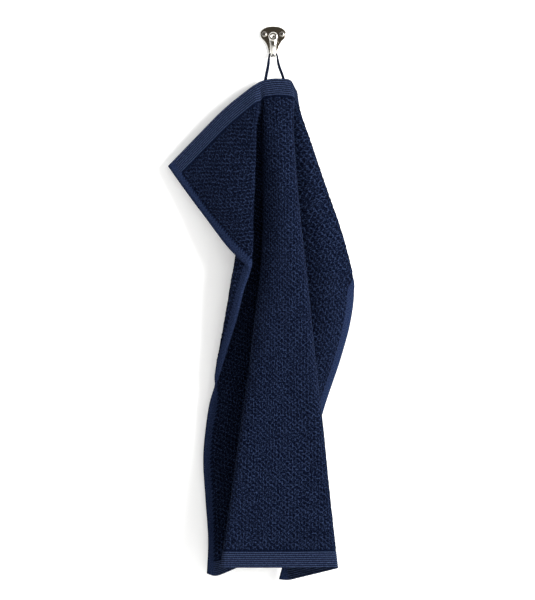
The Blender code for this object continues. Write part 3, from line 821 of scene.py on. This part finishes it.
def plate_solid():
    right = refine(PLATE_OUTLINE, 6)
    left = [(-x, z) for x, z in right[-2:0:-1]]
    outline = np.array([tuple(point) for point in right] + left)
    inwards = np.array([0.0, PLATE_MIDDLE_Z]) - outline
    inwards /= np.linalg.norm(inwards, axis=1, keepdims=True)
    edge_starts = PLATE_EDGE - PLATE_THICKNESS
    profile = [(0.0, 0.0)]
    for s, c in quarter_round(5):
        profile.append((edge_starts - PLATE_EDGE * s, PLATE_EDGE * (1 - c)))
    rings = []
    for y, inset in profile:
        rings.append([(x, y, z) for x, z in outline + inwards * inset])
    return recalculated(add_object("hook_casting", *sweep(rings), [nickel_finish()]))


def arm_solid():
    stations = refine(ARM_SECTIONS, 8)
    tangents = np.gradient(stations[:, :2], axis=0)
    sides = 40
    rings = []
    for (y, z, width, thickness), (dy, dz) in zip(stations, tangents):
        length = math.hypot(dy, dz)
        out_y, out_z = -dz / length, dy / length
        ring = []
        for k in range(sides):
            angle = 2 * math.pi * k / sides
            x = width / 2 * math.cos(angle)
            out = thickness / 2 * math.sin(angle)
            ring.append((x, y + out * out_y, z + out * out_z))
        rings.append(ring)
    return recalculated(add_object("arm_tool", *sweep(rings), [nickel_finish()]))


def turned(name, profile, centre_x, centre_z, finish):
    """A solid turned about a line along Y, from (radius, y) at each step along it."""
    sides = 64
    rings = []
    for radius, y in profile:
        ring = []
        for k in range(sides):
            angle = 2 * math.pi * k / sides
            ring.append((centre_x + radius * math.cos(angle), y, centre_z + radius * math.sin(angle)))
        rings.append(ring)
    return recalculated(add_object(name, *sweep(rings), [finish]))


def eased(radius, y, edge, towards, steps=6):
    """A quarter round at a turned solid's rim, from its side (towards < 0) to its end."""
    turns = quarter_round(steps)
    return [(radius - edge * (1 - c), y + towards * edge * (1 - s)) for s, c in turns]


def knob_solid():
    back = eased(KNOB_RADIUS, KNOB_BACK_Y, KNOB_EDGE, -1)[::-1]
    front = eased(KNOB_RADIUS, KNOB_FRONT_Y, KNOB_EDGE, 1)
    dimple = [(radius, KNOB_FRONT_Y + depth) for radius, depth in KNOB_DIMPLE]
    return turned("knob_tool", [*back, *front, *dimple], 0.0, KNOB_Z, nickel_finish())


def combine(target, tools, operation):
    """Applies a Boolean of target with each tool, and removes the tools."""
    for tool in tools:
        step = target.modifiers.new("join", "BOOLEAN")
        step.operation = operation
        step.object = tool
        step.solver = "EXACT"
    graph = bpy.context.evaluated_depsgraph_get()
    made = bpy.data.meshes.new_from_object(target.evaluated_get(graph))
    target.modifiers.clear()
    target.data = made
    for tool in tools:
        bpy.data.objects.remove(tool)
    made.shade_smooth()
    made.set_sharp_from_angle(angle=math.radians(42))
    return target


def make_hook():
    hook = combine(plate_solid(), [arm_solid(), knob_solid()], "UNION")
    radius = SCREW_SHANK_DIAMETER / 2 + CLEARANCE
    bore = [(radius, BORE_OVERRUN), (radius, -PLATE_THICKNESS - BORE_OVERRUN)]
    bores = []
    for side in (-1, 1):
        x = side * SCREW_SPACING / 2
        bores.append(turned("bore_tool", bore, x, 0.0, nickel_finish()))
    combine(hook, bores, "DIFFERENCE")
    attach(hook, "root")
    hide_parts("hook")


def slot_tool():
    """A block the size of a screw's slot, about the origin."""
    half_x, half_y, half_z = np.asarray(SLOT_SIZE) / 2
    corners = ((-half_x, -half_z), (half_x, -half_z), (half_x, half_z), (-half_x, half_z))
    rings = [[(x, y, z) for x, z in corners] for y in (-half_y, half_y)]
    return recalculated(add_object("slot_tool", *sweep(rings), [screw_finish()]))


def make_screw(name, node, x, tilt):
    """A round-headed screw, with its cross slot turned by tilt degrees."""
    seat = -PLATE_THICKNESS - CLEARANCE
    head, shank = SCREW_HEAD_DIAMETER / 2, SCREW_SHANK_DIAMETER / 2
    dome_starts = seat - SCREW_HEAD_RIM
    dome = SCREW_HEAD_HEIGHT - SCREW_HEAD_RIM
    profile = [(shank, 0.0), (shank, seat), (head - SCREW_HEAD_RIM, seat)]
    for s, c in quarter_round(8)[:-1]:
        profile.append((head * c, dome_starts - dome * s))
    screw = turned(name, profile, x, 0.0, screw_finish())
    slots = []
    for quarter in range(2):
        slot = slot_tool()
        slot.location = (x * MM, (seat - SCREW_HEAD_HEIGHT) * MM, 0.0)
        slot.rotation_euler = (0.0, math.radians(tilt + 90 * quarter), 0.0)
        slots.append(slot)
    bpy.context.view_layer.update()
    combine(screw, slots, "DIFFERENCE")
    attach(screw, "root")
    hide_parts(node)


def shader_of(name):
    """A new node material: its tree, its links and its Principled shader."""
    made = bpy.data.materials.new(name)
    made.use_nodes = True
    tree = made.node_tree
    return made, tree, tree.nodes["Principled BSDF"]


def cloth_map(tree):
    node = tree.nodes.new("ShaderNodeUVMap")
    node.uv_map = "cloth"
    return node.outputs["UV"]


def scaled(tree, vector, scale):
    node = tree.nodes.new("ShaderNodeMapping")
    node.inputs["Scale"].default_value = scale
    tree.links.new(vector, node.inputs["Vector"])
    return node.outputs["Vector"]


def noise(tree, vector, scale, detail=2.0, roughness=0.5):
    node = tree.nodes.new("ShaderNodeTexNoise")
    node.inputs["Scale"].default_value = scale
    node.inputs["Detail"].default_value = detail
    node.inputs["Roughness"].default_value = roughness
    tree.links.new(vector, node.inputs["Vector"])
    return node.outputs["Fac"]


def ramp(tree, value, stops):
    """A colour ramp from (position, colour) stops."""
    node = tree.nodes.new("ShaderNodeValToRGB")
    elements = node.color_ramp.elements
    while len(elements) < len(stops):
        elements.new(0.5)
    for element, (position, colour) in zip(elements, stops):
        element.position = position
        element.color = (*colour, 1.0)
    tree.links.new(value, node.inputs["Fac"])
    return node.outputs["Color"]


def bump(tree, height, distance, strength=1.0, under=None):
    node = tree.nodes.new("ShaderNodeBump")
    node.inputs["Distance"].default_value = distance
    node.inputs["Strength"].default_value = strength
    tree.links.new(height, node.inputs["Height"])
    if under is not None:
        tree.links.new(under, node.inputs["Normal"])
    return node.outputs["Normal"]


def object_place(tree):
    return tree.nodes.new("ShaderNodeTexCoord").outputs["Object"]


def calc(tree, operation, *values):
    """A maths node: each value is a number or another node's output."""
    node = tree.nodes.new("ShaderNodeMath")
    node.operation = operation
    for socket, value in zip(node.inputs, values):
        if isinstance(value, (int, float)):
            socket.default_value = value
        else:
            tree.links.new(value, socket)
    return node.outputs["Value"]


def mixed(tree, share, first, second):
    """A colour between two, each a colour or another node's output."""
    node = tree.nodes.new("ShaderNodeMix")
    node.data_type = "RGBA"
    tree.links.new(share, node.inputs["Factor"])
    for socket, colour in zip((node.inputs["A"], node.inputs["B"]), (first, second)):
        if isinstance(colour, tuple):
            socket.default_value = (*colour, 1.0)
        else:
            tree.links.new(colour, socket)
    return node.outputs["Result"]


def share_between(tree, value, none, whole):
    """0 where a value is at none, 1 where it is at whole, and a straight line between."""
    node = tree.nodes.new("ShaderNodeMapRange")
    node.inputs["From Min"].default_value = none
    node.inputs["From Max"].default_value = whole
    tree.links.new(value, node.inputs["Value"])
    return node.outputs["Result"]


def dyed_cotton(name, dark, light, sheen, uneven=700.0, spread=0.13):
    """Navy cotton: uneven dye, a fuzz of fibres and a soft sheen, ready for a weave."""
    made, tree, shader = shader_of(name)
    place = cloth_map(tree)
    yarn = noise(tree, scaled(tree, place, YARN_DRAWN_OUT), uneven)
    broad = noise(tree, place, BROAD_SCALE)
    yarn = calc(tree, "MULTIPLY", yarn, 1 - BROAD_SHARE)
    share = calc(tree, "ADD", yarn, calc(tree, "MULTIPLY", broad, BROAD_SHARE))
    colour = ramp(tree, share, [(UNEVEN_MIDDLE - spread, dark), (UNEVEN_MIDDLE + spread, light)])
    fibres = noise(tree, object_place(tree), FIBRE_SCALE, 3.0, 0.7)
    fuzz = bump(tree, fibres, FIBRE_HEIGHT)
    tree.links.new(colour, shader.inputs["Base Color"])
    tree.links.new(fuzz, shader.inputs["Normal"])
    shader.inputs["Roughness"].default_value = 0.95
    shader.inputs["Specular IOR Level"].default_value = 0.02
    shader.inputs["Sheen Weight"].default_value = sheen
    shader.inputs["Sheen Roughness"].default_value = 0.5
    shader.inputs["Sheen Tint"].default_value = (*SHEEN_TINT, 1.0)
    return made, tree, shader, colour, fuzz


def sheen_above(tree, shader, depth, sheen):
    """A sheen that fades out with depth, from 0 at the top of the pile to 1."""
    share = calc(tree, "SUBTRACT", 1.0, depth)
    tree.links.new(calc(tree, "MULTIPLY", share, sheen), shader.inputs["Sheen Weight"])


_finishes = {}


def once(name, make):
    if name not in _finishes:
        _finishes[name] = make()
    return _finishes[name]


def pile_finish():
    return once("pile", make_pile_finish)


def make_pile_finish():
    """Cotton that is darker in the pits as painted shade, by the marks of the pile's points."""
    made, tree, shader, colour, _ = dyed_cotton(
        "terry_pile", PILE_DARK, PILE_LIGHT, PILE_SHEEN, uneven=650.0, spread=0.055
    )
    mark = tree.nodes.new("ShaderNodeAttribute")
    mark.attribute_name = "pit"
    depth = mark.outputs["Fac"]
    # The pits get painted shade, by their marks.
    tree.links.new(mixed(tree, depth, colour, PIT_PAINTED_SHADE), shader.inputs["Base Color"])
    sheen_above(tree, shader, depth, PILE_SHEEN)
    return made


# The ground is dyed from the pits' painted shade up to its own light end: painted shade beneath the
# pile.
def ground_finish():
    return once(
        "ground",
        lambda: dyed_cotton("terry_ground", PIT_PAINTED_SHADE, GROUND_PAINTED_SHADE_LIGHT, sheen=0.0, uneven=720.0)[0],
    )


def hem_finish():
    return once("hem", lambda: dyed_cotton("hem_weave", HEM_DARK, HEM_LIGHT, sheen=0.04)[0])


def tape_finish():
    return once("tape", lambda: dyed_cotton("tape_weave", TAPE_DARK, TAPE_LIGHT, sheen=0.03)[0])


def band_finish():
    return once("band", make_band_finish)


def make_band_finish():
    """Fine ribs along the end of the cloth, with painted shade in the grooves and a row of stitches in
    each groove.
    """
    made, tree, shader, colour, fuzz = dyed_cotton(
        "band_weave", BAND_DARK, BAND_LIGHT, BAND_SHEEN, uneven=500.0, spread=0.28
    )
    split = tree.nodes.new("ShaderNodeSeparateXYZ")
    tree.links.new(cloth_map(tree), split.inputs["Vector"])
    x, y = split.outputs["X"], split.outputs["Y"]
    end = calc(tree, "MINIMUM", y, calc(tree, "SUBTRACT", TOWEL_LENGTH * MM, y))
    turn = calc(tree, "MULTIPLY", end, math.pi * BAND_RIBS / (BAND_LENGTH * MM))
    groove = calc(tree, "SUBTRACT", 1.0, calc(tree, "ABSOLUTE", calc(tree, "SINE", turn)))
    stitch_turn = calc(tree, "MULTIPLY_ADD", x, 2 * math.pi / (STITCH * MM), turn)
    stitch = calc(tree, "MULTIPLY_ADD", calc(tree, "SINE", stitch_turn), STITCH_SHARE, 1 - STITCH_SHARE)
    depth = calc(tree, "MULTIPLY", calc(tree, "POWER", groove, GROOVE_POWER), stitch)
    # The grooves get painted shade.
    tree.links.new(mixed(tree, depth, colour, GROOVE_PAINTED_SHADE), shader.inputs["Base Color"])
    sheen_above(tree, shader, depth, BAND_SHEEN)
    ribs = bump(tree, calc(tree, "SUBTRACT", 1.0, depth), GROOVE_DEPTH, 1.0, fuzz)
    tree.links.new(ribs, shader.inputs["Normal"])
    return made


def nickel_finish():
    return once("nickel", make_nickel)


def screw_finish():
    return once("screw", make_screw_finish)


def make_screw_finish():
    # The screws' nickel is darkened as painted reflection.
    made = plain_finish("screw_nickel", SCREW_NICKEL_DARK_REFLECTION, 0.25)
    made.node_tree.nodes["Principled BSDF"].inputs["Metallic"].default_value = 1.0
    return made


def make_nickel():
    """Bright nickel, with a darker face to the plate as painted reflection of a dark room."""
    made, tree, shader = shader_of("bright_nickel")
    place = object_place(tree)
    normal = tree.nodes.new("ShaderNodeNewGeometry").outputs["Normal"]
    shares = []
    for vector, limits in ((place, RAISED_Y), (normal, TURNED_NORMAL_Y)):
        split = tree.nodes.new("ShaderNodeSeparateXYZ")
        tree.links.new(vector, split.inputs["Vector"])
        shares.append(share_between(tree, split.outputs["Y"], *limits))
    plain_nickel_share = calc(tree, "MAXIMUM", *shares)
    # Painted reflection: the plate's face gets the darker nickel.
    tree.links.new(mixed(tree, plain_nickel_share, NICKEL_FACE_DARK_REFLECTION, NICKEL), shader.inputs["Base Color"])
    cast = noise(tree, place, CAST_SCALE, 3.0)
    gloss = tree.nodes.new("ShaderNodeMapRange")
    gloss.inputs["To Min"].default_value, gloss.inputs["To Max"].default_value = CAST_GLOSS
    tree.links.new(cast, gloss.inputs["Value"])
    tree.links.new(gloss.outputs["Result"], shader.inputs["Roughness"])
    tree.links.new(bump(tree, cast, CAST_HEIGHT, 0.5), shader.inputs["Normal"])
    shader.inputs["Metallic"].default_value = 1.0
    return made


def plain_finish(name, colour, roughness):
    made, tree, shader = shader_of(name)
    shader.inputs["Base Color"].default_value = (*colour, 1.0)
    shader.inputs["Roughness"].default_value = roughness
    return made


def plane(name, centre, across, up, finish):
    """A flat sheet for the backdrop or floor, from its middle and its two half sides, in metres."""
    centre, across, up = Vector(centre), Vector(across), Vector(up)
    corners = [centre - across - up, centre + across - up, centre + across + up, centre - across + up]
    mesh = bpy.data.meshes.new(name)
    mesh.from_pydata([tuple(corner) for corner in corners], [], [(0, 1, 2, 3)])
    mesh.materials.append(finish)
    obj = bpy.data.objects.new(name, mesh)
    bpy.context.scene.collection.objects.link(obj)
    return obj


def make_stage():
    white = plain_finish("stage_white", BACKDROP_WHITE, 0.9)
    one_sided(white)
    shader = white.node_tree.nodes["Principled BSDF"]
    shader.inputs["Emission Color"].default_value = (1.0, 1.0, 1.0, 1.0)
    shader.inputs["Emission Strength"].default_value = BACKDROP_GLOW
    middle = (0.0, BACKDROP_Y, BACKDROP_MIDDLE_Z)
    across = (BACKDROP_HALF_WIDTH, 0.0, 0.0)
    up = (0.0, 0.0, BACKDROP_HALF_HEIGHT)
    plane("wall_backdrop", middle, across, up, white)
    floor = plain_finish("stage_floor", FLOOR_WHITE, 0.8)
    middle = (0.0, 0.0, FLOOR_Z)
    plane("floor", middle, (FLOOR_HALF_SIZE, 0.0, 0.0), (0.0, FLOOR_HALF_SIZE, 0.0), floor)


def one_sided(material):
    """Seen through from behind, so that the backdrop doesn't hide what hangs before it."""
    tree = material.node_tree
    shader = tree.nodes["Principled BSDF"]
    output = tree.nodes["Material Output"]
    geometry = tree.nodes.new("ShaderNodeNewGeometry")
    clear = tree.nodes.new("ShaderNodeBsdfTransparent")
    mix = tree.nodes.new("ShaderNodeMixShader")
    tree.links.new(geometry.outputs["Backfacing"], mix.inputs["Fac"])
    tree.links.new(shader.outputs["BSDF"], mix.inputs[1])
    tree.links.new(clear.outputs["BSDF"], mix.inputs[2])
    tree.links.new(mix.outputs["Shader"], output.inputs["Surface"])


def area_light(name, place, target, size, power):
    data = bpy.data.lights.new(name, "AREA")
    data.shape = "DISK"
    data.size = size
    data.energy = power
    lamp = bpy.data.objects.new(name, data)
    lamp.location = place
    lamp.rotation_euler = (Vector(target) - Vector(place)).to_track_quat("-Z", "Y").to_euler()
    bpy.context.scene.collection.objects.link(lamp)
    return lamp


def make_lights():
    world = bpy.data.worlds.new("studio")
    bpy.context.scene.world = world
    world.use_nodes = True
    tree = world.node_tree
    background = tree.nodes["Background"]
    towards = tree.nodes.new("ShaderNodeSeparateXYZ")
    tree.links.new(tree.nodes.new("ShaderNodeTexCoord").outputs["Generated"], towards.inputs["Vector"])
    away = calc(tree, "MULTIPLY", towards.outputs["Y"], -1.0)
    tree.links.new(ramp(tree, away, LIGHT_ALL_ROUND), background.inputs["Color"])
    strength = calc(tree, "MULTIPLY_ADD", towards.outputs["X"], BRIGHTER_TO_RIGHT, 1.0)
    tree.links.new(strength, background.inputs["Strength"])
    area_light("key", **KEY)
    fill = area_light("fill", **FILL)
    fill.visible_glossy = False


def make_camera():
    data = bpy.data.cameras.new("camera")
    data.sensor_fit = "VERTICAL"
    data.sensor_height = SENSOR
    data.lens = SENSOR * CAMERA_DISTANCE / FRAME_HEIGHT
    data.clip_end = 100.0
    camera = bpy.data.objects.new("camera", data)
    camera.location = (CAMERA_X * MM, -CAMERA_DISTANCE * MM, CAMERA_Z * MM)
    camera.rotation_euler = (math.radians(90), 0.0, 0.0)
    bpy.context.scene.collection.objects.link(camera)
    bpy.context.scene.camera = camera


make_camera()
make_loop()
make_towel()
make_hook()
make_screw("screw_left_head", "screw_left", -SCREW_SPACING / 2, 20)
make_screw("screw_right_head", "screw_right", SCREW_SPACING / 2, 50)
make_lights()
make_stage()
bpy.context.scene.view_settings.view_transform = "Standard"
